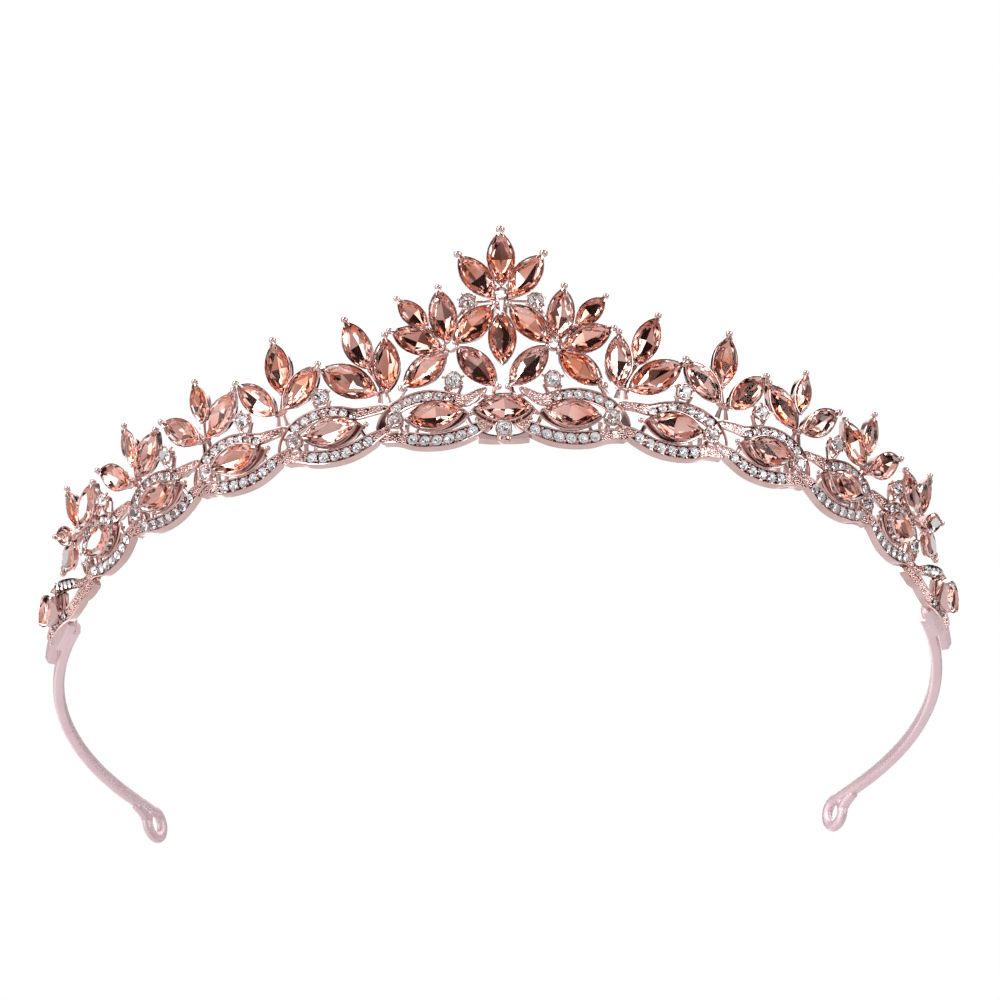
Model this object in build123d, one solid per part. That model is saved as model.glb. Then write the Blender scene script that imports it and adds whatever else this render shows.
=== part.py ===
from build123d import *
import os
from math import asin, cos, degrees, hypot, radians, sin

# Bridal tiara: a cast rose-gold front of twelve leaf links and a centre link, a crest of petal
# clusters, foil-backed marquise stones, clear round stones and two wire arms that end in eyelets.
#
# Frame: the tiara lies on its flat underside at z = 0, its front faces -Y and its width runs along X.
# The wall is a cone: at the station s (mm along the foot, from the front centre, + to the wearer's
# left) and the height v up the slope, h is the distance out from the wall's front face.

os.makedirs("parts", exist_ok=True)

# ---------------------------------------------------------------- driving dimensions (mm, degrees)
FRONT_RADIUS = 71.0        # foot of the wall, front arc
FRONT_ARC = 55.0           # half angle of the front arc
SIDE_RADIUS = 91.0         # foot of the wall, side arcs
FLARE = 20.0               # the wall leans out by this much
FRONT_Y = -61.7            # foot of the wall at the front centre, so that the box is centred on Y

UNIT_FIRST = 10.0          # station of the first leaf link
UNIT_PITCH = 16.0          # from one leaf link to the next
UNITS = 5                  # leaf links on each side, before the end link
CENTER_HALF = 3.6          # half length of the centre link's foot
END_CENTER = 95.0          # station where the end link is tangent to the foot
END_MARQUISE = 97.3        # station of the end link's marquise

PLATE = 1.3                # depth of the ribbons, front to back
BAND_V = 4.9               # height of the marquise row
BAND_OUT = 1.5             # the band's marquise girdles stand this far out

BIG = (8.0, 4.0)           # navette stones, length and width
BAND = (8.4, 4.0)
LARGE = (9.6, 4.7)
SMALL = (6.0, 3.0)
KEEL = 0.36                # depth of a navette's pavilion, as a share of its width
FLOOR = 0.35               # metal under a stone
RIM = 0.35                 # wall of a stone's cup
FIT = 0.04                 # clearance round a stone in its cup
PAVE_LOW = 0.80            # radius of the lower ribbon's stones
PAVE_LOW_PITCH = 1.85
PAVE_HIGH = 0.70           # radius of the upper ribbon's stones
PAVE_HIGH_PITCH = 1.60
ACCENT = 1.15              # radius of the round stones between the leaves
BALL = 0.55                # radius of the ball at each petal's tip
FINIAL_BALL = 0.7          # and of the finial's three

WIRE_DEPTH = 1.9           # wire arm, radially
WIRE_HEIGHT = 2.2          # wire arm, vertically
WIRE_RADIUS = 90.0         # of its arc
WIRE_INSET = 2.1           # its start lies this far inside the foot of the wall
WIRE_START = 90.0          # station where the arc of the arm starts
WIRE_LEAD = 5.0            # the drawn wire leaves off this much of that arc
WIRE_SPLAY = 2.9           # at its start the arc heads this much further out than the wall
WIRE_END = 119.8           # heading of the arm at its eyelet
WIRE_TILT = 3.2            # the arm climbs towards the back
WIRE_Z = 1.3               # height of its axis at the start
PAD_STATION = 99.4         # middle of the end link's pad over the wire
EYELET_HOLE = 1.35
EYELET_OUTER = 3.5
EYELET_DEPTH = 2.3
EYELET_DROP = 2.3          # the eyelet hangs below the wire's axis
EYELET_ALONG = 2.2         # and lies this far beyond the wire's end

# ---------------------------------------------------------------- the wall
FRONT_LENGTH = FRONT_RADIUS * radians(FRONT_ARC)


def foot(s):
    """Plan position and heading (radians) of the foot of the wall at the station s."""
    if s < 0:
        x, y, a = foot(-s)
        return -x, y, -a
    if s <= FRONT_LENGTH:
        a = s / FRONT_RADIUS
        return FRONT_RADIUS * sin(a), FRONT_Y + FRONT_RADIUS * (1 - cos(a)), a
    a0 = radians(FRONT_ARC)
    a = a0 + (s - FRONT_LENGTH) / SIDE_RADIUS
    x = (FRONT_RADIUS - SIDE_RADIUS) * sin(a0) + SIDE_RADIUS * sin(a)
    y = FRONT_Y + FRONT_RADIUS - (FRONT_RADIUS - SIDE_RADIUS) * cos(a0) - SIDE_RADIUS * cos(a)
    return x, y, a


def axes(s):
    """Tangent, up the slope and outward normal of the wall at the station s."""
    _, _, a = foot(s)
    f = radians(FLARE)
    tangent = Vector(cos(a), sin(a), 0)
    up = Vector(sin(a) * sin(f), -cos(a) * sin(f), cos(f))
    out = Vector(sin(a) * cos(f), -cos(a) * cos(f), -sin(f))
    return tangent, up, out


def on_wall(s, v, h=0.0):
    x, y, _ = foot(s)
    _, up, out = axes(s)
    return Vector(x, y, 0) + up * v + out * h


def wall_plane(s, v, h=0.0, turn=0.0):
    """Plane tangent to the wall: x along the foot turned by `turn` degrees, z outward."""
    tangent, up, out = axes(s)
    t = radians(turn)
    return Plane(origin=on_wall(s, v, h), x_dir=tangent * cos(t) + up * sin(t), z_dir=out)


def place(plane, shape, z=0.0):
    return plane.location * Pos(0, 0, z) * shape


# ---------------------------------------------------------------- stones and their cups
def marquise_points(length, width, count=3):
    """Corners of a marquise outline: two arcs with `count` facets on each quarter."""
    r = (length * length + width * width) / (4 * width)
    a = asin(length / 2 / r)
    top = [(r * sin(a * k / count), r * cos(a * k / count) - r + width / 2) for k in range(-count, count + 1)]
    return top + [(x, -y) for x, y in reversed(top[1:-1])]


def round_points(radius, count=10):
    return [(radius * cos(radians(360 * k / count)), radius * sin(radians(360 * k / count)))
            for k in range(count)]


def faceted(outline, rings):
    """Closed solid of flat facets: the outline scaled to each (z, scale) ring, bottom ring first."""
    layers = [[Vector(x * k, y * k, z) for x, y in outline] for z, k in rings]
    faces = [Face(Wire.make_polygon(layers[0])), Face(Wire.make_polygon(layers[-1]))]
    n = len(outline)
    for low, high in zip(layers, layers[1:]):
        for i in range(n):
            j = (i + 1) % n
            faces.append(Face(Wire.make_polygon([low[i], low[j], high[j], high[i]])))
    return Solid(Shell(faces))


def navette(size, grow=0.0):
    """Marquise stone: crown, girdle at z = 0 and pavilion. With `grow` it is the pocket for it."""
    length, width = size
    k = 1 + 2 * grow / width
    deep = KEEL * width
    rings = [(-deep, 0.16), (-0.12, k), (0.12, k), (0.12 * width, 0.84), (0.18 * width, 0.60)]
    if grow:
        rings = [(-deep, 0.16 + k - 1), (-0.12, k), (0.3 * width, k)]
    return faceted(marquise_points(length, width), rings)


def round_stone(radius):
    rings = [(-0.8 * radius, 0.15), (-0.06, 1), (0.06, 1), (0.42 * radius, 0.6)]
    return faceted(round_points(radius), rings)


def marquise_face(length, width):
    a, b = (-length / 2, 0), (length / 2, 0)
    return make_face(ThreePointArc(a, (0, width / 2), b) + ThreePointArc(b, (0, -width / 2), a))


def navette_cup(size, depth):
    """Marquise cup whose rim ends just above the girdle."""
    length, width = size
    return Pos(0, 0, -depth) * extrude(marquise_face(length + 3.2 * RIM, width + 2 * RIM), depth + 0.12)


def round_cup(radius, depth, rim=0.3):
    return Pos(0, 0, -depth / 2 + 0.05) * Cylinder(radius + rim, depth + 0.1)


def round_pocket(radius):
    """Cylindrical pocket; its floor is where the culet rests."""
    deep = 0.8 * radius
    return Pos(0, 0, 1 - deep / 2) * Cylinder(radius + FIT, 2 + deep)


def whole(shape):
    """The main solid of a boolean result, without the slivers that a trim leaves."""
    solids = [s for item in shape for s in item.solids()] if isinstance(shape, list) else shape.solids()
    return max(solids, key=lambda s: s.volume)


class Casting:
    """A cast piece with its stones: metal is joined, then trimmed by all that it must clear."""

    def __init__(self):
        self.metal = []
        self.pockets = []
        self.stones = []
        self.body = None

    def add(self, *shapes):
        self.metal += shapes

    def finish(self, stones, bodies):
        """Cut the stones' pockets, every stone near by and every body that is already finished."""
        body = whole(self.metal[0].fuse(*self.metal[1:]))
        own = set(id(stone) for stone in self.stones)
        others = [c for c in stones + bodies if id(c) not in own]
        near = [c for c in others if overlap(c.bounding_box(), body.bounding_box())]
        self.body = whole(body.cut(*self.pockets, *near))


def overlap(a, b):
    return (a.min.X < b.max.X and b.min.X < a.max.X and a.min.Y < b.max.Y and b.min.Y < a.max.Y
            and a.min.Z < b.max.Z and b.min.Z < a.max.Z)


def set_navette(casting, s, v, h, turn, size, depth=None, ball=0):
    """Cup, pocket and stone of one navette; `ball` is the radius of the ball at its far tip."""
    plane = wall_plane(s, v, h, turn)
    depth = depth or KEEL * size[1] + FLOOR
    casting.add(place(plane, navette_cup(size, depth)))
    if ball:
        tip = size[0] / 2 + 1.6 * RIM
        casting.add(plane.location * Pos(tip, 0, 0) * Rot(0, 90, 0) * Sphere(ball))
    casting.pockets.append(place(plane, navette(size, FIT)))
    casting.stones.append(place(plane, navette(size)))
    return casting.stones[-1]


def set_round(casting, plane, radius, depth=0):
    """Round stone with its pocket; a `depth` gives it a cup of its own."""
    if depth:
        casting.add(place(plane, round_cup(radius, depth)))
    casting.pockets.append(place(plane, round_pocket(radius)))
    casting.stones.append(place(plane, round_stone(radius)))
    return casting.stones[-1]


def offset(plane, u, v, h):
    return Plane(plane.location * Pos(u, v, h))


def strut(start, end, width, low, high):
    """Straight bar between two (s, v) points of the wall, from the depth `low` to `high`."""
    a = on_wall(*start, (low + high) / 2)
    b = on_wall(*end, (low + high) / 2)
    _, _, out = axes((start[0] + end[0]) / 2)
    plane = Plane(origin=(a + b) / 2, x_dir=b - a, z_dir=out)
    return plane.location * Box((b - a).length, width, high - low)


# ---------------------------------------------------------------- ribbons and links
def ribbon_face(points):
    """Flat ribbon through (u, v, width) points, with a smooth edge on each side."""
    left, right = [], []
    for i, (u, v, w) in enumerate(points):
        u0, v0, _ = points[max(i - 1, 0)]
        u1, v1, _ = points[min(i + 1, len(points) - 1)]
        n = hypot(u1 - u0, v1 - v0)
        nu, nv = -(v1 - v0) / n, (u1 - u0) / n
        left.append((u + nu * w / 2, v + nv * w / 2))
        right.append((u - nu * w / 2, v - nv * w / 2))
    edges = Spline(*left) + Line(left[-1], right[-1]) + Spline(*right) + Line(right[0], left[0])
    return make_face(edges)


def plate(face, low=-PLATE, high=0.0):
    return Pos(0, 0, low) * extrude(face, high - low)


def level_plate(face):
    """Ribbon swept straight back instead of square to the wall, so that its underside is level."""
    f = radians(FLARE)
    return extrude(face, PLATE / cos(f), dir=(0, -sin(f), -cos(f)))


def low_v(u):
    """Centre line of the lower pave row."""
    return 1.2 + 0.033 * (u - 0.2) ** 2


def high_v(u):
    """Centre line of the upper pave row."""
    return 8.1 - 0.06 * (u - 1.2) ** 2


LOWER_RIBBON = [(-8.6, 3.9, 1.0), (-7.0, 3.0, 1.7), (-5.4, low_v(-5.4), 2.2), (-2.7, 1.4, 2.4),
                (0.2, 1.12, 2.4), (3.2, 1.43, 2.4), (5.6, 2.1, 2.1), (8.6, 2.3, 1.9)]
UPPER_RIBBON = [(-8.6, 7.3, 1.5), (-6.4, 7.0, 1.7), (-4.2, 7.0, 2.0), (-1.4, high_v(-1.4), 2.1),
                (1.2, high_v(1.2), 2.1), (4.0, high_v(4.0), 2.1), (6.4, 6.6, 2.1), (7.9, 5.2, 2.0),
                (8.8, 3.4, 1.6)]
END_UPPER = [(-13.6, 2.2, 1.6), (-10.4, 2.6, 1.7), (-7.8, 3.9, 1.9), (-4.6, 5.4, 2.1), (-1.6, 6.6, 2.1),
             (1.2, 7.2, 1.8), (4.0, 7.2, 1.4), (6.6, 6.0, 1.0)]
END_LOWER = [(-13.6, 1.2, 2.2), (-8.0, 1.0, 2.2), (-2.4, 1.6, 2.2), (1.6, 2.6, 2.2), (5.0, 3.2, 2.2),
             (8.4, 3.2, 2.1), (11.4, 2.4, 2.0), (14.4, 1.4, 1.9)]


BELOW = Pos(0, 0, -10) * Box(300, 300, 20)     # trims each link to its flat foot


def sector(s0, s1):
    """Wedge between the radial planes at two stations, as deep and high as the wall."""
    corners = []
    for s, offset in ((s0, -12), (s1, -12), (s1, 22), (s0, 22)):
        x, y, a = foot(s)
        corners.append((x + offset * sin(a), y - offset * cos(a)))
    return Pos(0, 0, -20) * extrude(make_face(Polyline(*corners, close=True)), 80)


def build_link(index):
    """Leaf link number `index` on the left of the wearer."""
    center = UNIT_FIRST + UNIT_PITCH * index
    inner = center - UNIT_PITCH / 2 if index else CENTER_HALF
    outer = center + UNIT_PITCH / 2
    flat = wall_plane(center, 0)
    link = Casting()
    leaf = place(flat, Pos(0.2, 4.8, 0) * plate(marquise_face(13.4, 6.2)))
    lower = place(flat, level_plate(ribbon_face(LOWER_RIBBON)))
    upper = place(flat, plate(ribbon_face(UPPER_RIBBON)))
    body = whole(whole(lower.fuse(upper, leaf)).cut(BELOW))
    link.add(whole(body.intersect(sector(inner, outer))))
    marquises.append(set_navette(link, center, BAND_V, BAND_OUT, -3, BAND, depth=BAND_OUT + 0.1))
    accents.append(set_round(link, offset(flat, 6.3, 4.75, 0.5), ACCENT, 1.4))
    for k in range(6 if index < 3 else 7):
        u = -5.4 + PAVE_LOW_PITCH * k
        pave.append(set_round(link, offset(flat, u, low_v(u), 0.02), PAVE_LOW))
    for k in range(7 if index else 6):
        u = 5.9 - PAVE_HIGH_PITCH * k
        pave.append(set_round(link, offset(flat, u, high_v(u), 0.02), PAVE_HIGH))
    for s, v in ACCENT_POSTS:
        if abs(s - center) < UNIT_PITCH / 2:
            accents.append(set_round(link, wall_plane(s, v, 0.4), ACCENT, 1.3))
            link.add(strut((s, v), (s, 8.0), 1.0, -1.0, 0.0))
    return link


def build_center_link():
    """Centre link with its marquise and the round stone below it."""
    flat = wall_plane(0, 0)
    link = Casting()
    bridge = place(flat, level_plate(Pos(0, 1.5, 0) * Rectangle(9, 1.9)))
    body = whole(place(flat, Pos(0, 4.3, 0) * plate(marquise_face(19, 8.4))).fuse(bridge))
    link.add(whole(body.intersect(sector(-CENTER_HALF, CENTER_HALF))))
    set_navette(link, 0, 5.5, BAND_OUT, 0, BAND, depth=BAND_OUT + 0.1)
    set_round(link, offset(flat, 0, 2.35, 1.3), 1.1, 2.2)
    return link


def build_end_link():
    """End link: two ribbons close round the last marquise, and a pad behind takes the wire arm."""
    flat = wall_plane(END_CENTER, 0)
    link = Casting()
    leaf = place(flat, Pos(3.2, 4.6, 0) * Rot(0, 0, 2) * plate(marquise_face(11.6, 5.4), low=-0.9))
    upper = place(flat, plate(ribbon_face(END_UPPER)))
    lower = place(flat, level_plate(ribbon_face(END_LOWER)))
    pad = place(wall_plane(PAD_STATION, 1.9, -PLATE - 0.6), Box(5.2, 3.0, 1.4))
    body = whole(whole(lower.fuse(upper, leaf)).intersect(sector(UNIT_FIRST + UNIT_PITCH * (UNITS - 0.5), 114)))
    link.add(whole(whole(body.fuse(pad)).cut(BELOW)))
    marquises.append(set_navette(link, END_MARQUISE, 4.7, 2.0, -3, BAND, depth=2.6))
    for k in range(5):
        u = -7.9 + 1.75 * k
        pave.append(set_round(link, offset(flat, u, 3.85 + 0.47 * (u + 7.9), 0.02), PAVE_HIGH))
    for k in range(4):
        u = 0.6 + 1.75 * k
        pave.append(set_round(link, offset(flat, u, 2.3 + 0.17 * (u - 0.6), 0.02), PAVE_HIGH))
    return link


# ---------------------------------------------------------------- crest
# One petal: station, height, turn, stone size, girdle's distance out.
FINIAL = [(3.3, 26.0, 53, BIG, 0.8), (0, 28.6, 90, BIG, 1.5), (-3.3, 26.0, 127, BIG, 0.8)]
FLOWER = [(3.9, 18.6, 138, BIG, 0.8), (8.1, 20.2, 84, BIG, 0.8), (12.2, 20.9, 49, SMALL, 0.8),
          (11.9, 16.7, 26, BIG, 0.8), (11.1, 12.1, -34, BIG, 0.8), (3.7, 12.1, 227, BIG, 0.8)]
SPRAYS = [[(16.6, 13.7, 93, BIG, 0.8), (20.5, 17.3, 71, BIG, 0.8), (22.3, 12.0, 33, LARGE, 0.8)],
          [(29.7, 12.7, 140, BIG, 0.8), (32.7, 16.6, 90, BIG, 0.8), (36.9, 12.8, 50, BIG, 0.8)],
          [(43.4, 12.5, 141, BIG, 0.8), (46.4, 15.6, 92, SMALL, 0.8), (50.6, 12.5, 41, BIG, 0.8)],
          [(58.5, 12.1, 143, BIG, 0.8), (61.4, 14.9, 95, SMALL, 0.8), (66.2, 12.0, 39, BIG, 0.8)],
          [(74.6, 11.2, 148, BIG, 1.2), (78.6, 12.9, 97, SMALL, 1.2), (83.1, 10.5, 26, SMALL, 1.2),
           (84.4, 7.3, -20, SMALL, 1.2)]]
FLOWER_JOINT = (7.3, 16.0)
JOINTS = [(17.6, 9.9), (33.8, 9.8), (47.4, 9.8), (62.8, 9.6), (79.6, 9.4)]
ACCENT_POSTS = [(7.2, 10.2), (27.1, 10.7), (40.1, 10.7), (55.1, 10.7), (71.4, 10.5)]
FINIAL_ACCENT = (4.7, 22.3)


def build_cluster(petals, joint, foot_v):
    """Petal cluster: its cups meet at the joint, and a stem stands on the band."""
    cluster = Casting()
    s0, v0 = joint
    cluster.add(place(wall_plane(s0, v0), Pos(0, 0, -0.3) * Cylinder(1.2, 1.4)))
    cluster.add(strut(joint, (s0, foot_v), 1.6, -1.1, -0.1))
    for s, v, turn, size, out in petals:
        set_navette(cluster, s, v, out, turn, size, ball=BALL)
        back = out - KEEL * size[1] - FLOOR
        cluster.add(strut(joint, (s, v), 1.0, back, back + 0.8))
    return cluster


def build_flower():
    """Six petals round a hub; the two lowest also reach the band."""
    flower = build_cluster(FLOWER, FLOWER_JOINT, 15.0)
    flower.add(strut((14.0, 10.2), (15.4, 8.6), 1.2, -1.0, 0.0))
    return flower


def build_finial():
    """Three petals over the centre, the upright marquise below them and a round stone each side."""
    finial = Casting()
    finial.add(place(wall_plane(0, 24), Pos(0, 0, -0.2) * Box(1.4, 7.4, 1.2)))
    for s, v, turn, size, out in FINIAL:
        set_navette(finial, s, v, out, turn, size, ball=FINIAL_BALL)
    set_navette(finial, 0, 16.4, 0.8, 90, BIG)
    finial_stones.extend(finial.stones)
    s, v = FINIAL_ACCENT
    for side in (1, -1):
        accents_middle.append(set_round(finial, wall_plane(side * s, v, 0.4), ACCENT, 1.3))
        finial.add(strut((0, v + 0.1), (side * s, v), 1.0, -0.8, 0.1))
    return finial


# ---------------------------------------------------------------- wire arms
def build_arm():
    """Wire arm on the wearer's left, an arc that climbs gently, and the eyelet closed on its end."""
    x0, y0, heading = foot(WIRE_START)
    a0, a1 = heading - radians(WIRE_SPLAY), radians(WIRE_END)
    cx = x0 - WIRE_INSET * sin(heading) - WIRE_RADIUS * sin(a0)
    cy = y0 + WIRE_INSET * cos(heading) + WIRE_RADIUS * cos(a0)
    section = RectangleRounded(WIRE_DEPTH, WIRE_HEIGHT, 0.7)
    a0 += radians(WIRE_LEAD)
    start = Plane(origin=(cx + WIRE_RADIUS * sin(a0), cy - WIRE_RADIUS * cos(a0), 0),
                  x_dir=(sin(a0), -cos(a0), 0), z_dir=(cos(a0), sin(a0), 0))
    wire = revolve(start * section, Axis((cx, cy, 0), (0, 0, 1)), revolution_arc=degrees(a1 - a0))
    tip = Plane(origin=(cx + WIRE_RADIUS * sin(a1), cy - WIRE_RADIUS * cos(a1), 0),
                x_dir=(cos(a1), sin(a1), 0), z_dir=(sin(a1), -cos(a1), 0))
    middle = tip.location * Pos(EYELET_ALONG, -EYELET_DROP, 0)
    ring = middle * chamfer(Cylinder(EYELET_OUTER, EYELET_DEPTH).edges().filter_by(GeomType.CIRCLE), 0.5)
    wire = whole(wire.cut(ring))
    neck = whole((tip.location * Pos(-1.9, -1.4, 0) * Box(3.8, 2.8, 1.3)).cut(wire))
    eyelet = whole(whole(ring.fuse(neck)).cut(middle * Cylinder(EYELET_HOLE, 6)))
    tilt = Axis((0, y0, 0), (1, 0, 0))
    return [Pos(0, 0, WIRE_Z) * piece.rotate(tilt, WIRE_TILT) for piece in (wire, eyelet)]


# ---------------------------------------------------------------- assembly
def mirrored(shapes):
    return [shape.mirror(Plane.YZ) for shape in shapes]


def write(name, shapes):
    """One STEP per node; a node of several stones is a group of separate solids."""
    group = shapes[0] if len(shapes) == 1 else Compound(children=[Solid(s.wrapped) for s in shapes])
    export_step(group, "parts/" + name + ".step")
    boxes.append(group.bounding_box())
    print(name, len(shapes), round(sum(s.volume for s in shapes), 2))


def both_sides(name, shapes):
    write("left_" + name, shapes)
    write("right_" + name, mirrored(shapes))


boxes = []
marquises, accents, accents_middle, pave, finial_stones = [], [], [], [], []
arm, eyelet = build_arm()
center_link = build_center_link()
finial = build_finial()
links = [build_link(index) for index in range(UNITS)]
end_link = build_end_link()
flower = build_flower()
sprays = [build_cluster(petals, joint, 8.2) for petals, joint in zip(SPRAYS, JOINTS)]

side = links + [end_link, flower] + sprays
side_stones = [stone for casting in side for stone in casting.stones]
middle_stones = center_link.stones + finial.stones
done = []
for casting in (center_link, finial):
    casting.finish(middle_stones + side_stones + mirrored(side_stones), done)
    done.append(casting.body)
done += [arm, eyelet]
for casting in side:
    casting.finish(middle_stones + side_stones, done)
    done.append(casting.body)

write("center_link", [center_link.body])
write("center_marquise", center_link.stones[:1])
write("crest_finial", [finial.body])
write("crest_finial_stones", finial_stones)
for index, link in enumerate(links, 1):
    both_sides("link_%d" % index, [link.body])
    both_sides("marquise_%d" % index, [marquises[index - 1]])
both_sides("end_link", [end_link.body])
both_sides("end_marquise", [marquises[-1]])
both_sides("flower", [flower.body])
both_sides("flower_stones", flower.stones)
for index, spray in enumerate(sprays, 1):
    both_sides("spray_%d" % index, [spray.body])
    both_sides("spray_%d_stones" % index, spray.stones)
write("accent_stones", center_link.stones[1:] + accents_middle + accents + mirrored(accents))
both_sides("pave", pave)
both_sides("wire_arm", [arm])
both_sides("eyelet", [eyelet])

for axis in "XYZ":
    print(axis, min(getattr(b.min, axis) for b in boxes), max(getattr(b.max, axis) for b in boxes))
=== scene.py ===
import bmesh
import bpy
import numpy as np
import random
from math import asin, atan2, cos, pi, radians, sin, sqrt, tan
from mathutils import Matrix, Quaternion, Vector


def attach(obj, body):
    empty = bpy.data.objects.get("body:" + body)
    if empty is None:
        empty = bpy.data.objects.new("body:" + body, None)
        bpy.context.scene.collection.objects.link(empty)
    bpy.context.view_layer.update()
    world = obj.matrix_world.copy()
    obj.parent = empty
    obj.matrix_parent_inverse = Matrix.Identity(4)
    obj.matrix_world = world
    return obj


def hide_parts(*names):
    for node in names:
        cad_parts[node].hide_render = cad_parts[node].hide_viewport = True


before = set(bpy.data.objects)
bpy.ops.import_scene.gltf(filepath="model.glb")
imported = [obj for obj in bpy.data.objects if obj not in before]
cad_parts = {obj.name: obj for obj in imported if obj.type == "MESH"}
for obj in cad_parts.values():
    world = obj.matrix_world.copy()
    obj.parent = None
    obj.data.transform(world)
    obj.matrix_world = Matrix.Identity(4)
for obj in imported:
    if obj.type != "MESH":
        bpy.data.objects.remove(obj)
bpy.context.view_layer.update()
random.seed(7)

# ---------------------------------------------------------------- the CAD's wall (mm, degrees)
FRONT_RADIUS, FRONT_ARC, SIDE_RADIUS, FLARE, FRONT_Y = 71.0, radians(55), 91.0, radians(20), -61.7
FRONT_LENGTH = FRONT_RADIUS * FRONT_ARC
UNITS = [10, 26, 42, 58, 74]      # stations of the leaf links
END = 95.0                        # station where the end link is tangent to the foot
DEEP = 1.3                        # depth of the castings, front to back


def foot(s):
    """x, y and heading of the wall's foot at the station s, measured along it from the middle."""
    if s < 0:
        x, y, a = foot(-s)
        return -x, y, -a
    if s <= FRONT_LENGTH:
        a = s / FRONT_RADIUS
        return FRONT_RADIUS * sin(a), FRONT_Y + FRONT_RADIUS * (1 - cos(a)), a
    a = FRONT_ARC + (s - FRONT_LENGTH) / SIDE_RADIUS
    x = (FRONT_RADIUS - SIDE_RADIUS) * sin(FRONT_ARC) + SIDE_RADIUS * sin(a)
    y = FRONT_Y + FRONT_RADIUS - (FRONT_RADIUS - SIDE_RADIUS) * cos(FRONT_ARC) - SIDE_RADIUS * cos(a)
    return x, y, a


def axes(s):
    """Tangent, up the slope and outward normal of the wall at the station s."""
    _, _, a = foot(s)
    t = np.array([cos(a), sin(a), 0])
    up = np.array([sin(a) * sin(FLARE), -cos(a) * sin(FLARE), cos(FLARE)])
    out = np.array([sin(a) * cos(FLARE), -cos(a) * cos(FLARE), -sin(FLARE)])
    return t, up, out


def wall(s, v, h=0.0):
    """The point at the station s, v up the slope and h outward."""
    x, y, _ = foot(s)
    _, up, out = axes(s)
    return np.array([x, y, 0]) + up * v + out * h


def link_point(center, u, v, h=0.0):
    """A point of one link: on its tangent plane near the middle, easing onto the cone at its ends."""
    x, y, _ = foot(center)
    t, up, out = axes(center)
    flat = np.array([x, y, 0]) + t * u + up * v + out * h
    if center == END and u > 0:
        return flat
    near = 8.5 if center == END else 5.5
    k = min(max((abs(u) - near) / 2.5, 0), 1)
    k = k * k * (3 - 2 * k)
    return flat if k == 0 else flat * (1 - k) + wall(center + u, v, h) * k


def unit(v):
    return v / np.linalg.norm(v)


# ---------------------------------------------------------------- mesh building
class Shape:
    """A mesh in the making, in mm."""

    def __init__(self):
        self.verts, self.faces, self.mats = [], [], []

    def add(self, verts, faces, mat=0):
        base = len(self.verts)
        self.verts += [tuple(v) for v in verts]
        self.faces += [tuple(base + i for i in f) for f in faces]
        self.mats += [mat] * len(faces)

    def grid(self, rows, mat=0):
        """Skin over rows of points, each a closed ring, with a cap on the first and the last."""
        n, m = len(rows), len(rows[0])
        faces = []
        for i in range(n - 1):
            for j in range(m):
                k = (j + 1) % m
                faces.append((i * m + j, i * m + k, (i + 1) * m + k, (i + 1) * m + j))
        faces.append(tuple(reversed(range(m))))
        faces.append(tuple((n - 1) * m + j for j in range(m)))
        self.add([p for row in rows for p in row], faces, mat)

    def ball(self, center, r, axis=(0, 0, 1), stretch=1.0, n=10):
        """Round or stretched ball of n segments."""
        x, y, z = basis(axis)
        rings = max(5, n * 2 // 3)
        rows = []
        for i in range(1, rings):
            a = pi * i / rings
            rows.append([center + r * (sin(a) * (cos(2 * pi * j / n) * x + sin(2 * pi * j / n) * y)
                                       - stretch * cos(a) * z) for j in range(n)])
        verts = [p for row in rows for p in row] + [center - r * stretch * z, center + r * stretch * z]
        faces = [(i * n + j, i * n + (j + 1) % n, (i + 1) * n + (j + 1) % n, (i + 1) * n + j)
                 for i in range(len(rows) - 1) for j in range(n)]
        low, high = len(verts) - 2, len(verts) - 1
        last = (len(rows) - 1) * n
        faces += [(low, (j + 1) % n, j) for j in range(n)]
        faces += [(high, last + j, last + (j + 1) % n) for j in range(n)]
        self.add(verts, faces)

    def rod(self, points, radii, n=10, flat=1.0, out=None):
        """Round bar through the points; `flat` squeezes it along `out`."""
        rows = []
        count = len(points)
        for i, p in enumerate(points):
            d = unit(points[min(i + 1, count - 1)] - points[max(i - 1, 0)])
            ref = out if out is not None else np.array([0, 0, 1.0])
            y = unit(ref - d * np.dot(ref, d))
            x = np.cross(y, d)
            rows.append([p + radii[i] * (cos(2 * pi * j / n) * x + flat * sin(2 * pi * j / n) * y)
                         for j in range(n)])
        self.grid(rows)

    def mirrored(self):
        """The same shape on the wearer's other side."""
        other = Shape()
        other.verts = [(-x, y, z) for x, y, z in self.verts]
        other.faces = [tuple(reversed(f)) for f in self.faces]
        other.mats = list(self.mats)
        return other

    def piece(self, name, materials, nodes, slot, sharp=40):
        """Makes the object that stands for the CAD nodes; edges over `sharp` degrees stay sharp."""
        mesh = bpy.data.meshes.new(name)
        mesh.from_pydata([Vector(v) * 0.001 for v in self.verts], [], self.faces)
        mesh.polygons.foreach_set("material_index", self.mats)
        for material in materials:
            mesh.materials.append(material)
        mesh.polygons.foreach_set("use_smooth", [sharp > 0] * len(self.faces))
        mesh.validate()
        made = bmesh.new()
        made.from_mesh(mesh)
        bmesh.ops.recalc_face_normals(made, faces=made.faces)
        made.to_mesh(mesh)
        made.free()
        if sharp:
            mesh.set_sharp_from_angle(angle=radians(sharp))
        piece = bpy.data.objects.new(name, mesh)
        bpy.context.scene.collection.objects.link(piece)
        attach(piece, "root")
        if nodes:
            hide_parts(*nodes)
        return piece


def basis(z):
    z = unit(np.array(z, float))
    ref = np.array([1.0, 0, 0]) if abs(z[0]) < 0.8 else np.array([0, 1.0, 0])
    x = unit(np.cross(ref, z))
    return x, np.cross(z, x), z


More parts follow.
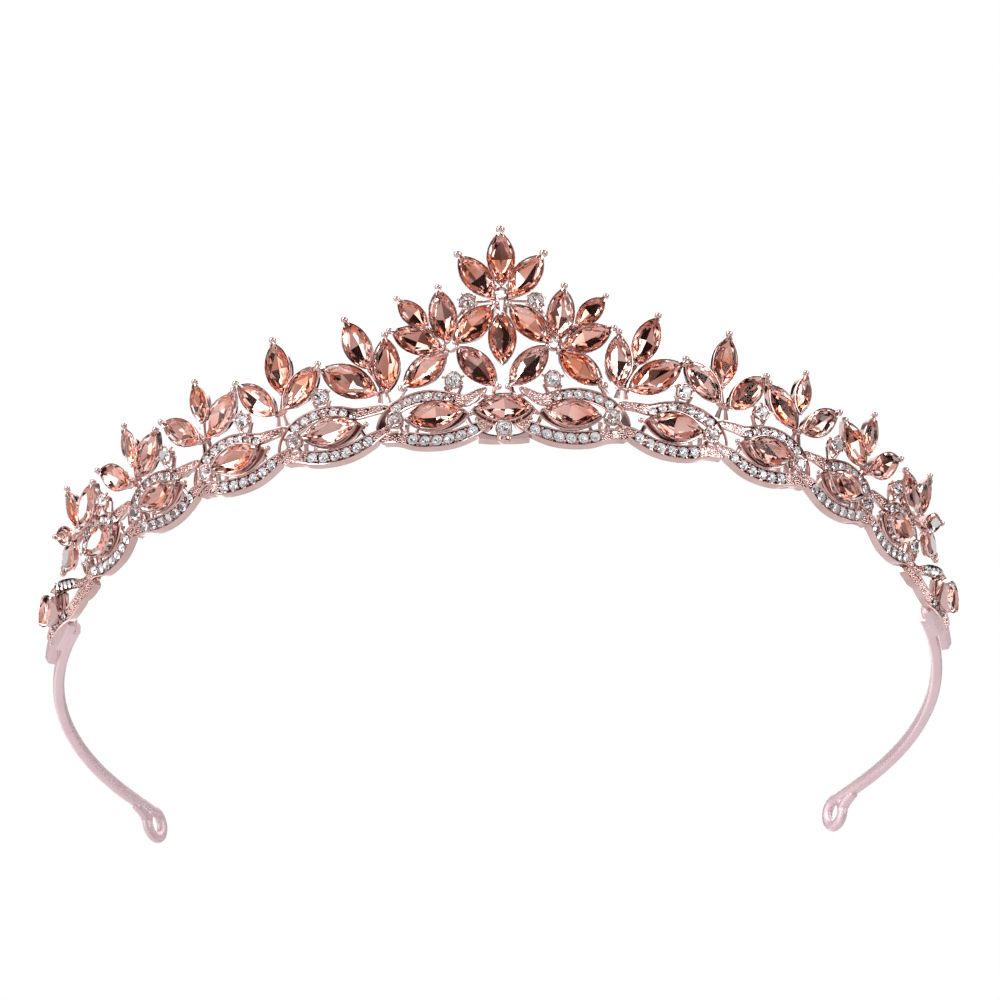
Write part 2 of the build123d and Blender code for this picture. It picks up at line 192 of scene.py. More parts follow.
# ---------------------------------------------------------------- stones of the CAD
class Seat:
    """Where a stone sits: its girdle's centre, long axis x, width axis y, outward z, and size."""

    def __init__(self, points):
        middle = points.mean(0)
        _, _, rows = np.linalg.svd(points - middle)
        x, z = rows[0], rows[2]
        radial = np.array([middle[0], middle[1] - FRONT_Y - FRONT_RADIUS, 0])
        if np.dot(z, radial) < 0:
            z = -z
        along = (points - middle) @ x
        tips = points[np.abs(along) > 0.995 * np.abs(along).max()]
        level = ((tips - middle) @ z).mean()
        center = middle + z * level + x * (along.max() + along.min()) / 2
        self.o, self.x, self.z = center, x, z
        self.y = np.cross(z, x)
        self.length = along.max() - along.min()
        across = (points - middle) @ self.y
        self.width = across.max() - across.min()

    def point(self, x, y, z=0.0):
        return self.o + self.x * x + self.y * y + self.z * z

    def away_from(self, p):
        """Turns the stone's axes so that x points away from p."""
        if np.dot(self.o - p, self.x) < 0:
            self.x, self.y = -self.x, -self.y
        return self

    def station(self):
        x, y = abs(self.o[0]), self.o[1]
        a = atan2(x, FRONT_Y + FRONT_RADIUS - y)
        if a <= FRONT_ARC:
            return FRONT_RADIUS * a
        cx = (FRONT_RADIUS - SIDE_RADIUS) * sin(FRONT_ARC)
        cy = FRONT_Y + FRONT_RADIUS - (FRONT_RADIUS - SIDE_RADIUS) * cos(FRONT_ARC)
        return FRONT_LENGTH + SIDE_RADIUS * (atan2(x - cx, cy - y) - FRONT_ARC)


def seats(node):
    """The seat of every stone in a CAD node, from its separate solids."""
    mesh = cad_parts[node].data
    ids, places = {}, []
    index = []
    for v in mesh.vertices:
        key = tuple(round(c * 1e6) for c in v.co)
        if key not in ids:
            ids[key] = len(places)
            places.append(np.array(v.co) * 1000)
        index.append(ids[key])
    parent = list(range(len(places)))

    def root(i):
        while parent[i] != i:
            parent[i] = parent[parent[i]]
            i = parent[i]
        return i

    for face in mesh.polygons:
        first = root(index[face.vertices[0]])
        for i in face.vertices:
            parent[root(index[i])] = first
    groups = {}
    for i in range(len(places)):
        groups.setdefault(root(i), []).append(places[i])
    return [Seat(np.array(g)) for g in groups.values()]


# ---------------------------------------------------------------- gems
def marquise(length, width, count=4):
    r = (length * length + width * width) / (4 * width)
    a = asin(length / 2 / r)
    top = [(r * sin(a * k / count), r * cos(a * k / count) - r + width / 2) for k in range(-count, count + 1)]
    return top + [(x, -y) for x, y in reversed(top[1:-1])]


def circle(radius, count):
    return [(radius * cos(2 * pi * k / count), radius * sin(2 * pi * k / count)) for k in range(count)]


def hull(shape, points, seat, mats):
    """Adds the convex hull of (x, y, z) points as flat facets; crown mats[0], pavilion mats[1]."""
    made = bmesh.new()
    for p in points:
        made.verts.new(p)
    got = bmesh.ops.convex_hull(made, input=made.verts)
    loose = [g for g in got["geom_interior"] if isinstance(g, bmesh.types.BMVert)]
    bmesh.ops.delete(made, geom=loose, context="VERTS")
    bmesh.ops.recalc_face_normals(made, faces=made.faces)
    bmesh.ops.dissolve_limit(made, angle_limit=radians(1.0), verts=made.verts, edges=made.edges)
    made.verts.index_update()
    base = [seat.point(*v.co) for v in made.verts]
    for f in made.faces:
        low = f.calc_center_median().z < -0.04 and f.normal.z < -0.05
        shape.add([base[v.index] for v in f.verts], [tuple(range(len(f.verts)))], mats[1 if low else 0])
    made.free()


def navette(shape, seat, mats):
    """Marquise stone: table, strip facets, and a pavilion of four large kites that meet in one point."""
    length, width = seat.length, seat.width
    points = [(x, y, z) for x, y in marquise(length, width) for z in (-0.07, 0.07)]
    points += [(x, y, 0.105 * width) for x, y in marquise(length * 0.88, width * 0.84, 2)]
    points += [(x, y, 0.165 * width) for x, y in marquise(length * 0.64, width * 0.56, 2)]
    for x, y in ((0.36, 0), (0, 0.36), (-0.36, 0), (0, -0.36)):
        points.append((x * length, y * width, (-0.245 + random.uniform(-0.02, 0.02)) * width))
    points.append((random.uniform(-0.05, 0.05) * length, random.uniform(-0.07, 0.07) * width, -0.335 * width))
    hull(shape, points, seat, mats)


def brilliant(shape, seat, mats):
    r = seat.length / 2
    turn = random.uniform(0, pi)
    points = []
    for k in range(16):
        a = turn + 2 * pi * k / 16
        points += [(r * cos(a), r * sin(a), -0.04 * r), (r * cos(a), r * sin(a), 0.04 * r)]
    for k in range(8):
        a = turn + 2 * pi * k / 8
        b = a + pi / 8
        points.append((0.80 * r * cos(b), 0.80 * r * sin(b), 0.27 * r))
        points.append((0.56 * r * cos(a), 0.56 * r * sin(a), 0.41 * r))
        points.append((0.45 * r * cos(b), 0.45 * r * sin(b), -0.52 * r))
    points.append((0, 0, -0.78 * r))
    hull(shape, points, seat, mats)


# ---------------------------------------------------------------- settings
BALL_REACH = 0.56                 # a petal's ball sits this far beyond its stone's tip
CLAW_REACH = 0.75                 # a claw covers this much of its stone's length
ROUND_RIM = 0.3                   # wall of a round stone's cup


def cup(shape, seat, deep, grow=0.0):
    """Thin-walled boat under a marquise stone, with a rounded rim just over its girdle."""
    w = seat.width
    rings = [(-0.42 * w, -0.36 * w - 0.06), (-0.10 * w, -0.27 * w - 0.08), (0.0, -0.20 * w), (0.05, -0.08),
             (0.06, 0.08), (0.10, 0.13), (0.16, 0.12), (0.21, 0.05), (0.23, -0.08), (0.22, -0.45),
             (0.14 + grow, -0.55 * deep - 0.25), (-0.25 + grow, -0.9 * deep), (-0.55 + grow, -deep)]
    rows = []
    for offset, z in rings:
        outline = marquise(seat.length + 3.0 * offset, seat.width + 2 * offset, 6)
        rows.append([seat.point(x, y, z) for x, y in outline])
    shape.grid(rows)


def tip_ball(shape, seat, r):
    """Ball on the petal's outer tip, its neck, and the claw that holds the stone's tip."""
    tip = seat.length / 2
    ball = seat.point(tip + BALL_REACH, 0, 0.0)
    shape.ball(ball, r, n=14)
    shape.rod([seat.point(tip + 0.1, 0, -0.45), seat.point(tip + 0.45, 0, -0.2), ball],
              [0.34, 0.32, 0.26], out=seat.z)
    claw(shape, seat, 1)


def claw(shape, seat, side, high=0.36):
    """Two small fingers that close over one tip of the stone, `high` above its girdle."""
    tip = seat.length / 2
    for way in (1, -1):
        points = [seat.point(side * (tip + 0.10), way * 0.10, -0.1),
                  seat.point(side * (tip + 0.04), way * 0.16, 0.61 * high),
                  seat.point(side * (tip - CLAW_REACH * 0.5), way * 0.34, high),
                  seat.point(side * (tip - CLAW_REACH), way * 0.42, high)]
        shape.rod(points, [0.17, 0.19, 0.17, 0.09], n=8, out=seat.z)


def round_cup(shape, seat, deep):
    """Round cup with four small claws over the stone."""
    r, rim = seat.length / 2, ROUND_RIM
    deep = max(deep, 0.85 * r + 0.28)
    rings = [(-0.85 * r, -0.80 * r - 0.1), (-0.35 * r, -0.60 * r - 0.06), (0.0, -0.30 * r), (0.03, -0.02),
             (0.06, 0.07), (0.14, 0.08), (rim - 0.03, 0.0), (rim, -0.15), (rim - 0.04, -0.5 * deep),
             (rim - 0.25, -deep)]
    rows = [[seat.point(x, y, z) for x, y in circle(r + o, 20)] for o, z in rings]
    shape.grid(rows)
    for k in range(4):
        a = radians(45 + 90 * k)
        c, s = cos(a), sin(a)
        finger = [(0.2, -0.55), (0.22, 0.05), (0.05, 0.28), (-0.22, 0.32)]
        shape.rod([seat.point(c * (r + q), s * (r + q), z) for q, z in finger],
                  [0.24, 0.25, 0.22, 0.13], n=8, out=np.cross(seat.point(s, -c) - seat.o, seat.z))


# ---------------------------------------------------------------- ribbons
STEP = 0.28                       # spacing of a ribbon's sections
TAPER = 0.6                       # its ends narrow over this length
CHANNEL_RIM = 0.30                # raised edge of a ribbon
CHANNEL_DEEP = -0.78              # its floor under the stones
CHANNEL_SHALLOW = -0.22           # and under the cast grain
GRAIN_ROOM = 0.34                 # cast grain keeps this far from the ribbon's edge
LEVEL_LIFT = 0.03                 # keeps the curve of a level ribbon over the foot plane


def smooth(table):
    """Catmull-Rom curve through the rows of a table, about STEP apart."""
    rows = [np.array(r, float) for r in table]
    rows = [2 * rows[0] - rows[1]] + rows + [2 * rows[-1] - rows[-2]]
    out = []
    for i in range(1, len(rows) - 2):
        a, b, c, d = rows[i - 1:i + 3]
        count = max(2, int(np.linalg.norm(c[:2] - b[:2]) / STEP))
        for k in range(count):
            t = k / count
            out.append(0.5 * (2 * b + (c - a) * t + (2 * a - 5 * b + 4 * c - d) * t * t
                              + (3 * b - a - 3 * c + d) * t ** 3))
    out.append(rows[-2])
    return out


def normals(path):
    """Direction across the ribbon at each point of the path."""
    out = []
    for i in range(len(path)):
        a, b = path[max(i - 1, 0)], path[min(i + 1, len(path) - 1)]
        d = (b - a)[:2] / np.linalg.norm((b - a)[:2])
        out.append(np.array([-d[1], d[0]]))
    return out


def ribbon(shape, center, table, level=False, stones=None, low=-DEEP, ends=(0.35, 0.35)):
    """Channel with a rounded rim on each side along the table's (u, v, width) rows.

    Its floor is deep between the two `stones` stations and shallow in the granular tails; `ends` is
    the share of the width left at each end.
    """
    path = smooth(table)
    across = normals(path)
    rows = []
    total = len(path) - 1
    for i, ((u, v, w), n) in enumerate(zip(path, across)):
        first, last = (sqrt(min(q * STEP / TAPER, 1)) for q in (i, total - i))
        k = min(first * (1 - ends[0]) + ends[0], last * (1 - ends[1]) + ends[1])
        a, rim = w / 2 * k, CHANNEL_RIM
        floor = CHANNEL_DEEP if stones and stones[0] < u < stones[1] else CHANNEL_SHALLOW
        side = [(a - 0.10, low), (a, low + 0.12), (a + 0.02, -0.30), (a + 0.01, -0.08), (a - 0.05, 0.06),
                (a - rim * 0.5, 0.12), (a - rim * 0.85, 0.07), (a - rim, -0.05), (a - rim - 0.02, floor)]
        side = [(max(q, 0.04), h) for q, h in side]
        ring = side + [(-q, h) for q, h in reversed(side)]
        row = []
        for q, h in ring:
            drop = tan(FLARE) * min(h, 0) + LEVEL_LIFT if level else 0
            row.append(link_point(center, u + n[0] * q, v + n[1] * q + drop, h))
        rows.append(row)
    shape.grid(rows)
    return path, across


def grains(shape, center, path, across, lo, hi):
    """Cast grain that fills the channel where it carries no stones."""
    for i, ((u, v, w), n) in enumerate(zip(path, across)):
        if not lo <= u <= hi:
            continue
        half = w / 2 - GRAIN_ROOM
        if half < 0.06:
            continue
        count = max(1, int(half * 2 / 0.30))
        for k in range(count + 1):
            q = -half + 2 * half * (k + 0.5 * (i % 2)) / count
            if abs(q) > half or random.random() < 0.12:
                continue
            r = random.uniform(0.12, 0.20)
            du, dv = random.uniform(-0.06, 0.06), random.uniform(-0.06, 0.06)
            rise = CHANNEL_SHALLOW + random.uniform(0.02, 0.14)
            p = link_point(center, u + n[0] * q + du, v + n[1] * q + dv, rise)
            shape.ball(p, r, n=6)


def beads(shape, stones):
    """Pairs of small beads between neighbouring stones of one row."""
    for i, a in enumerate(stones):
        for b in stones[i + 1:]:
            gap = np.linalg.norm(a.o - b.o)
            if 1.2 < gap < 2.1 and a.length + b.length > 1.55 * gap:
                r = a.length / 2
                across = unit(np.cross(a.z, b.o - a.o))
                for side in (1, -1):
                    shape.ball((a.o + b.o) / 2 + across * side * 0.68 * r + a.z * 0.12, 0.21, n=8)


# (u, v, width) rows of the ribbons. The TAILs belong to the centre link; the first link goes on from them.
LOWER_TAIL = [(-8.35, 3.7, 1.0), (-7.6, 3.3, 1.35), (-6.9, 2.95, 1.65), (-6.38, 2.72, 1.85)]
LOWER_FIRST = [(-6.38, 2.72, 1.85), (-5.4, 2.25, 2.15), (-2.7, 1.44, 2.35), (0.2, 1.17, 2.35),
               (3.2, 1.47, 2.35), (5.6, 2.1, 2.05), (7.4, 2.35, 1.7), (9.0, 2.15, 1.1)]
UPPER_TAIL = [(-7.6, 8.85, 0.6), (-7.0, 8.35, 1.0), (-6.38, 7.85, 1.35)]
UPPER_FIRST = [(-6.38, 7.85, 1.35), (-5.2, 7.15, 1.8), (-4.2, 6.95, 1.95), (-1.4, 7.72, 2.1), (1.2, 8.1, 2.1),
               (4.0, 7.63, 2.1), (6.4, 6.5, 2.05), (7.9, 5.1, 1.9), (8.9, 3.3, 1.2)]
LOWER = [(-8.9, 3.9, 0.9), (-7.0, 3.0, 1.6), (-5.4, 2.25, 2.15), (-2.7, 1.44, 2.35), (0.2, 1.17, 2.35),
         (3.2, 1.47, 2.35), (5.6, 2.1, 2.05), (7.4, 2.35, 1.7), (9.0, 2.15, 1.1)]
UPPER = [(-8.9, 7.2, 1.1), (-6.4, 6.9, 1.6), (-4.2, 6.9, 1.9), (-1.4, 7.72, 2.1), (1.2, 8.1, 2.1),
         (4.0, 7.63, 2.1), (6.4, 6.5, 2.05), (7.9, 5.1, 1.9), (8.9, 3.3, 1.2)]
END_UPPER = [(-13.9, 2.4, 1.2), (-10.4, 2.6, 1.6), (-7.8, 3.9, 1.9), (-4.6, 5.4, 2.1), (-1.6, 6.6, 2.05),
             (1.2, 7.2, 1.7), (4.0, 7.1, 1.3), (6.6, 6.0, 0.9)]
END_LOWER = [(-13.9, 1.2, 1.8), (-8.0, 1.05, 2.1), (-2.4, 1.6, 2.2), (1.6, 2.6, 2.2), (5.0, 3.2, 2.2),
             (8.4, 3.2, 2.1), (10.4, 2.75, 1.95)]
END_TAB = [(9.6, 2.95, 1.7), (11.4, 2.4, 1.8), (13.0, 1.9, 1.8), (14.3, 1.45, 1.7)]


def leaf(shape, center, u, v, length, width, low=-1.0, high=0.12):
    """Leaf-shaped frame round the foot of a marquise cup, with a fine raised edge."""
    rings = [(-1.4, high - 0.35), (-0.52, high - 0.32), (-0.42, high - 0.1), (-0.30, high), (-0.12, high),
             (0.0, high - 0.12), (0.02, high - 0.4), (-0.05, low + 0.2), (-0.3, low)]
    rows = [[link_point(center, u + x, v + y, z) for x, y in marquise(length + 2.6 * o, width + 2 * o, 6)]
            for o, z in rings]
    shape.grid(rows)


def bar(shape, center, a, b, r=0.35):
    """Short strut inside a link between two (u, v) points."""
    _, _, out = axes(center)
    middle = ((a[0] + b[0]) / 2, (a[1] + b[1]) / 2)
    shape.rod([link_point(center, *p, -0.4) for p in (a, middle, b)], [r * 1.15, r, r * 1.15], n=8, flat=1.3,
              out=out)


def nearest(stones, s):
    """The stones of the link at the station s."""
    return [seat for seat in stones if abs(seat.station() - s) < 8.0]


def span(row, center):
    """First and last station of a row of stones, with the room round them."""
    stations = [p.station() - center for p in row]
    return min(stations) - 0.9, max(stations) + 0.9


def build_link(index, pave, accents, marquise_seat):
    center = UNITS[index]
    shape = Shape()
    rows = nearest(pave, center)
    low_row = [p for p in rows if p.length > 1.5]
    high_row = [p for p in rows if p.length <= 1.5]
    low_span = span(low_row, center)
    high_span = span(high_row, center)
    ends = (0.35, 0.35) if index else (1, 0.35)
    low_path, low_n = ribbon(shape, center, LOWER if index else LOWER_FIRST, True, low_span, -1.1, ends)
    high_path, high_n = ribbon(shape, center, UPPER if index else UPPER_FIRST, False, high_span, -1.2, ends)
    beads(shape, low_row)
    beads(shape, high_row)
    grains(shape, center, low_path, low_n, -8.6, low_span[0])
    grains(shape, center, low_path, low_n, low_span[1], 8.6)
    grains(shape, center, high_path, high_n, -8.6, high_span[0])
    seat = marquise_seat.away_from(wall(0, 0))
    cup(shape, seat, 1.9, grow=0.15)
    leaf(shape, center, -0.1, 4.75, 10.2, 4.9)
    claw(shape, seat, -1)
    claw(shape, seat, 1)
    shape.ball(link_point(center, -5.6, 4.9, 0.25), 0.42, n=10)
    bar(shape, center, (-4.6, 4.2), (-5.2, 2.9))
    bar(shape, center, (4.6, 4.0), (4.7, 2.6))
    bar(shape, center, (3.0, 3.4), (3.4, 2.2), r=0.3)
    for a in nearest(accents, center):
        u = a.station() - center
        if a.o[2] < 6:
            round_cup(shape, a, 1.4)
            bar(shape, center, (u, 4.4), (u - 0.6, 2.9), r=0.4)
            bar(shape, center, (u, 5.0), (u + 1.1, 5.4), r=0.4)
        elif a.o[2] < 12:
            post(shape, a, a.station())
    return shape


def post(shape, seat, s):
    """Four-claw round setting on two slanting legs over the upper ribbon."""
    round_cup(shape, seat, 1.2)
    _, up, out = axes(s)
    back = seat.o - out * 0.8
    for side in (1, -1):
        across = np.cross(out, up) * side
        lug = back - across * 1.25 - up * 0.75
        shape.rod([lug, lug + across * 0.45 - up * 1.0, back - across * 0.35 - up * 2.5],
                  [0.34, 0.30, 0.42], n=8, out=out)
        shape.ball(back - across * 1.5 + up * 0.55 + out * 0.5, 0.27, n=8)
    shape.ball(back - up * 2.5, 0.6, axis=out, stretch=0.8, n=10)


def build_center(accents, marquise_seat):
    shape = Shape()
    cup(shape, marquise_seat, 1.9, grow=0.15)
    leaf(shape, 0, 0, 5.3, 10.0, 5.2)
    claw(shape, marquise_seat, 1)
    claw(shape, marquise_seat, -1)
    stone = min(accents, key=lambda a: abs(a.o[0]) + a.o[2])
    round_cup(shape, stone, 2.1)
    first = UNITS[0]
    _, _, out = axes(0)
    half = Shape()
    path, across = ribbon(half, first, LOWER_TAIL, level=True, low=-1.1, ends=(0.5, 1))
    grains(half, first, path, across, -8.2, -6.4)
    path, across = ribbon(half, first, UPPER_TAIL, low=-1.0, ends=(0.5, 1))
    half.ball(wall(4.9, 4.9, 0.15), 0.42, n=10)
    half.ball(wall(3.9, 4.1, -0.1), 0.34, n=8)
    for points, radii in (
            ([(2.0, 3.2, -0.5), (3.0, 3.5, -0.5), (4.2, 4.3, -0.5)], [0.42, 0.34, 0.4]),
            ([(1.5, 7.9, -0.5), (1.35, 8.4, -0.5), (1.15, 8.9, -0.45)], [0.32, 0.28, 0.3]),
            ([(1.7, 7.3, -0.5), (2.6, 7.7, -0.5), (3.7, 8.0, -0.5)], [0.4, 0.36, 0.42])):
        half.rod([wall(*p) for p in points], radii, n=8, out=out)
    for side in (half, half.mirrored()):
        shape.add(side.verts, side.faces)
    sill = [(-3.7, 1.5, 1.6), (-2.0, 1.15, 1.2), (0, 1.1, 1.1), (2.0, 1.15, 1.2), (3.7, 1.5, 1.6)]
    plank(shape, 0, sill, -1.1, -0.1)
    shape.ball(wall(0, 0.95, -0.15), 0.9, axis=(1, 0, 0), stretch=1.2, n=16)
    return shape


def plank(shape, center, table, low, high, mat=0):
    """Solid strap with rounded edges along the table's (u, v, width) rows."""
    path = smooth(table)
    rows = []
    for (u, v, w), n in zip(path, normals(path)):
        a = w / 2
        side = [(a - 0.15, low), (a, low + 0.15), (a, high - 0.2), (a - 0.08, high - 0.05), (a - 0.25, high)]
        ring = side + [(-q, h) for q, h in reversed(side)]
        rows.append([link_point(center, u + n[0] * q, v + n[1] * q + tan(FLARE) * min(h, 0), h)
                     for q, h in ring])
    shape.grid(rows, mat=mat)


def build_end(pave, marquise_seat):
    shape = Shape()
    rows = [p for p in pave if p.station() > 84.5]
    beads(shape, rows)
    high_row = [p for p in rows if p.station() < END - 0.3]
    low_row = [p for p in rows if p.station() >= END - 0.3]
    low_span = span(low_row, END)
    high_span = span(high_row, END)
    low_path, low_n = ribbon(shape, END, END_LOWER, True, low_span, -1.1, (0.5, 0.8))
    high_path, high_n = ribbon(shape, END, END_UPPER, False, high_span, -1.2)
    grains(shape, END, low_path, low_n, -13.4, low_span[0])
    grains(shape, END, low_path, low_n, low_span[1], 10.0)
    grains(shape, END, high_path, high_n, -13.4, high_span[0])
    grains(shape, END, high_path, high_n, high_span[1], 6.3)
    plank(shape, END, END_TAB, -1.25, -0.05, mat=1)
    web = [(0.8, 1.5, 1.4), (3.6, 1.9, 2.5), (7.0, 2.1, 2.7), (9.6, 2.0, 2.0)]
    plank(shape, END, web, -1.6, -0.35, mat=1)
    seat = marquise_seat.away_from(wall(0, 0))
    cup(shape, seat, 2.5, grow=0.15)
    leaf(shape, END, 2.4, 4.75, 10.4, 4.7, low=-0.9, high=0.1)
    claw(shape, seat, -1, high=0.16)
    claw(shape, seat, 1, high=0.16)
    rows = []
    for k, h in ((0.55, -1.0), (0.92, -1.1), (1.0, -1.4), (0.96, -2.15), (0.78, -2.45)):
        rows.append([link_point(END, 4.3 + x * k, 2.0 + y * k, h) for x, y in marquise(7.4, 3.4, 5)])
    shape.grid(rows, mat=1)
    return shape


# ---------------------------------------------------------------- crest
FLOWER_JOINT = (7.3, 16.0)
JOINTS = [(17.6, 9.9), (33.8, 9.8), (47.4, 9.8), (62.8, 9.6), (79.6, 9.4)]


def petals(shape, stones, joint):
    """Cups, tip balls, inner claws and the strands that tie each petal to the joint."""
    hub = wall(*joint, -0.35)
    for seat in stones:
        seat.away_from(hub)
        cup(shape, seat, 0.36 * seat.width + 0.40)
        tip_ball(shape, seat, 0.56 if seat.width > 3.5 else 0.5)
        inner = seat.point(-seat.length / 2, 0, -0.55)
        shape.rod([seat.point(-seat.length * 0.3, 0, -1.3), inner - seat.z * 0.35, hub - seat.z * 0.3],
                  [0.45, 0.42, 0.4], n=8, out=seat.z)
        shape.ball(seat.point(-seat.length / 2 - 0.12, 0, 0.18), 0.30, n=8)


def ring(shape, center, out, r, thick):
    """Round hub ring of radius r, facing `out`."""
    n = 18
    x, y, z = basis(out)
    rows = []
    for i in range(n + 1):
        a = 2 * pi * i / n
        d = cos(a) * x + sin(a) * y
        rows.append([center + d * (r + thick * cos(2 * pi * j / 8)) + z * thick * sin(2 * pi * j / 8)
                     for j in range(8)])
    faces = [(i * 8 + j, i * 8 + (j + 1) % 8, ((i + 1) % n) * 8 + (j + 1) % 8, ((i + 1) % n) * 8 + j)
             for i in range(n) for j in range(8)]
    shape.add([p for row in rows[:n] for p in row], faces)


def build_spray(index, stones):
    shape = Shape()
    s, v = JOINTS[index]
    petals(shape, stones, (s, v))
    _, _, out = axes(s)
    for side in (-1, 1):
        shape.rod([wall(s + side * 0.35, v + 0.6, -0.45), wall(s + side * 0.5, v - 0.6, -0.45),
                   wall(s + side * 0.75, v - 1.9, -0.5)], [0.34, 0.32, 0.45], n=8, out=out)
    shape.ball(wall(s, v + 0.3, 0.0), 0.42, n=10)
    return shape


def build_flower(stones):
    shape = Shape()
    s, v = FLOWER_JOINT
    hub = wall(s, v, -0.4)
    _, _, out = axes(s)
    ring(shape, hub, out, 1.05, 0.34)
    for seat in stones:
        seat.away_from(hub)
        cup(shape, seat, 0.36 * seat.width + 0.40)
        tip_ball(shape, seat, 0.56 if seat.width > 3.5 else 0.5)
        d = unit(seat.o - hub)
        stem = [seat.point(-seat.length * 0.3, 0, -1.3), seat.point(-seat.length / 2, 0, -0.9),
                hub + d * 1.05]
        shape.rod(stem, [0.5, 0.42, 0.36], n=8, out=seat.z)
        shape.ball(seat.point(-seat.length / 2 - 0.15, 0, 0.16), 0.33, n=10)
    for points, radii in (([(14.0, 10.2, -0.5), (14.7, 9.4, -0.5), (15.3, 8.5, -0.5)], [0.45, 0.4, 0.5]),
                          ([(1.1, 9.3, -0.4), (1.25, 8.4, -0.5), (1.5, 7.9, -0.5)], [0.4, 0.36, 0.45])):
        shape.rod([wall(*p) for p in points], radii, n=8, out=out)
    return shape


def build_finial(stones, accents):
    shape = Shape()
    _, _, out = axes(0)
    joint = wall(0, 24.6, -0.4)
    for seat in stones:
        low = seat.o[2] < 20
        seat.away_from(wall(0, 8.0) if low else joint)
        cup(shape, seat, 0.36 * seat.width + 0.40)
        if low:
            claw(shape, seat, 1)
            claw(shape, seat, -1)
            continue
        tip_ball(shape, seat, 0.69 if abs(seat.o[0]) < 1 else 0.66)
        shape.ball(seat.point(-seat.length / 2 - 0.05, 0, 0.12), 0.30, n=8)
    ring(shape, wall(0, 23.6, -0.35), out, 0.8, 0.3)
    for side in (1, -1):
        stalk = [(0.5, 20.4, -0.5), (0.55, 21.6, -0.4), (0.7, 23.2, -0.35)]
        shape.rod([wall(side * s, v, h) for s, v, h in stalk], [0.36, 0.32, 0.34], n=8, out=out)
        shape.ball(wall(side * 0.75, 22.0, 0.1), 0.36, n=8)
        shape.ball(wall(side * 0.9, 24.6, 0.15), 0.36, n=8)
    for seat in accents:
        side = 1 if seat.o[0] > 0 else -1
        round_cup(shape, seat, 1.2)
        shape.rod([wall(side * 0.7, 22.6, -0.7), wall(side * 2.4, 22.5, -0.9), seat.o - seat.z * 0.9],
                  [0.26, 0.22, 0.3], n=8, out=out)
        for du, dv in ((-1.3, -0.5), (1.3, 0.5), (0.5, -1.3)):
            shape.ball(seat.o + np.array([side * du, 0, dv]) - seat.z * 0.2, 0.30, n=8)
        shape.rod([seat.point(0, 0, -0.7), wall(side * 5.4, 20.9, -0.5), wall(side * 6.0, 19.9, -0.5)],
                  [0.42, 0.36, 0.4], n=8, out=out)
    return shape


# ---------------------------------------------------------------- wire arms
WIRE_DEPTH, WIRE_HEIGHT, WIRE_RADIUS, WIRE_INSET, WIRE_START = 1.9, 2.2, 90.0, 2.1, 90.0
WIRE_LEAD, WIRE_SPLAY, WIRE_END, WIRE_TILT, WIRE_Z = 5.2, 2.9, 119.8, 3.2, 1.3
EYELET_RADIUS, EYELET_ALONG, EYELET_DROP = 2.42, 2.2, 2.3
EYELET_SECTIONS, EYELET_TURN = 46, 7.6      # sections of the loop and the degrees between them


def build_arm():
    """Drawn wire on the wearer's left: one arc, then a loop bent down and closed on its underside."""
    x0, y0, heading = foot(WIRE_START)
    a0, a1 = heading - radians(WIRE_SPLAY), radians(WIRE_END)
    cx = x0 - WIRE_INSET * sin(heading) - WIRE_RADIUS * sin(a0)
    cy = y0 + WIRE_INSET * cos(heading) + WIRE_RADIUS * cos(a0)
    c, s = cos(radians(WIRE_TILT)), sin(radians(WIRE_TILT))

    def tilt(p):
        y, z = p[1] - y0, p[2]
        return np.array([p[0], y0 + y * c - z * s, y * s + z * c + WIRE_Z])

    shape = Shape()
    tip = np.array([cx + WIRE_RADIUS * sin(a1), cy - WIRE_RADIUS * cos(a1), 0])
    along, side = np.array([cos(a1), sin(a1), 0]), np.array([sin(a1), -cos(a1), 0])
    start = a0 + radians(WIRE_LEAD)
    path = []
    count = 60
    for i in range(count + 1):
        a = start + (a1 - start) * i / count
        p = np.array([cx + WIRE_RADIUS * sin(a), cy - WIRE_RADIUS * cos(a), 0])
        path.append((p, np.array([sin(a), -cos(a), 0]), np.array([0, 0, 1.0])))
    middle = tip + along * EYELET_ALONG - np.array([0, 0, EYELET_DROP])
    first = atan2(EYELET_RADIUS, -1.35)
    for i in range(1, EYELET_SECTIONS + 1):
        a = first - radians(EYELET_TURN) * i
        d = along * cos(a) + np.array([0, 0, 1.0]) * sin(a)
        path.append((middle + d * EYELET_RADIUS, side, d))
    rows = []
    for i, (p, out, up) in enumerate(path):
        k = min(max((i - count + 4) / 9, 0), 1)
        w = WIRE_DEPTH / 2 * (1 - 0.12 * k)
        t = WIRE_HEIGHT / 2 * (1 - 0.03 * k)
        q = 0.62 + 0.33 * k
        row = []
        for j in range(20):
            x, z = cos(pi * (j + 0.5) / 10), sin(pi * (j + 0.5) / 10)
            row.append(tilt(p + out * w * abs(x) ** q * np.sign(x) + up * t * abs(z) ** q * np.sign(z)))
        rows.append(row)
    shape.grid(rows)
    up = np.array([0, 0, 1.0])
    tail = [middle - along * x + up * z
            for x, z in ((2.1, -0.5), (2.9, 0.35), (3.9, 0.95), (5.0, 1.25), (5.8, 1.32))]
    shape.rod([tilt(p) for p in tail], [0.9, 0.96, 0.98, 0.92, 0.8], n=16, out=side)
    shape.ball(tilt(tail[-1]), 0.82, axis=side, n=16)
    return shape


# ---------------------------------------------------------------- materials
def material(name):
    mat = bpy.data.materials.new(name)
    mat.use_nodes = True
    return mat, mat.node_tree.nodes, mat.node_tree.links, mat.node_tree.nodes["Principled BSDF"]


